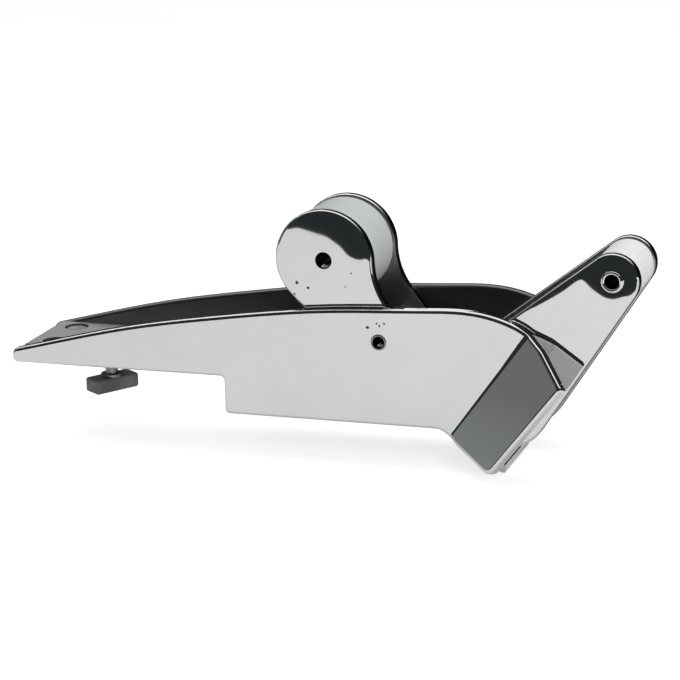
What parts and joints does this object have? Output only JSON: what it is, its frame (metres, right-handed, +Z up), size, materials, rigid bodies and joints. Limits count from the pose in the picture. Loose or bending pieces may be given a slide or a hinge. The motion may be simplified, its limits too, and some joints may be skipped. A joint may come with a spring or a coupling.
{
  "type": "tilting bow roller",
  "caption": "Polished steel anchor roller for a boat's bow: a flared channel holds a tilting rocker with a large and a small roller that carry the anchor chain.",
  "frame": {"origin": "centre of the four deck screw holes, under the deck plate", "axes": "+X to the bow, +Y to port, +Z up"},
  "size_m": [0.4043, 0.114, 0.1573],
  "materials": {
    "polished_steel": "mirror polished",
    "block_metal": "dark satin",
    "bearing_plastic": "matt",
    "rear_roller_plastic": "satin",
    "front_roller_plastic": "satin"
  },
  "bodies": {
    "channel": {"starboard_side_plate": "polished_steel", "port_side_plate": "polished_steel", "deck_plate": "polished_steel", "step_plate": "polished_steel", "floor_plate": "polished_steel", "nose_ramp": "polished_steel", "pivot_pin": "polished_steel", "pivot_washers": "bearing_plastic", "clamp_bolt": "polished_steel"},
    "clamp": {"clamp_block": "block_metal", "clamp_washer": "polished_steel"},
    "rocker": {"starboard_rocker_plate": "polished_steel", "port_rocker_plate": "polished_steel", "rocker_web": "polished_steel", "rocker_sleeve": "polished_steel", "rocker_bushes": "bearing_plastic", "rear_axle": "polished_steel", "front_axle": "polished_steel", "rear_roller_washers": "bearing_plastic", "front_roller_washers": "bearing_plastic"},
    "rear_roller_body": {"rear_roller": "rear_roller_plastic", "rear_roller_bush": "bearing_plastic"},
    "front_roller_body": {"front_roller": "front_roller_plastic", "front_roller_bush": "bearing_plastic"}
  },
  "joints": [
    {"name": "rocker_tilt", "type": "hinge", "parent": "channel", "child": "rocker", "pos_m": [0.1741, 0, 0.0235], "axis": [0, -1, 0], "range_deg": [0, 66]},
    {"name": "rear_roller_spin", "type": "hinge", "parent": "rocker", "child": "rear_roller_body", "pos_m": [0.1376, 0, 0.0705], "axis": [0, 1, 0], "continuous": true},
    {"name": "front_roller_spin", "type": "hinge", "parent": "rocker", "child": "front_roller_body", "pos_m": [0.316, 0, 0.0672], "axis": [0, 1, 0], "continuous": true},
    {"name": "clamp_turn", "type": "hinge", "parent": "channel", "child": "clamp", "pos_m": [-0.019, 0, -0.02], "axis": [0, 0, 1], "range_deg": [-56, 34]}
  ]
}
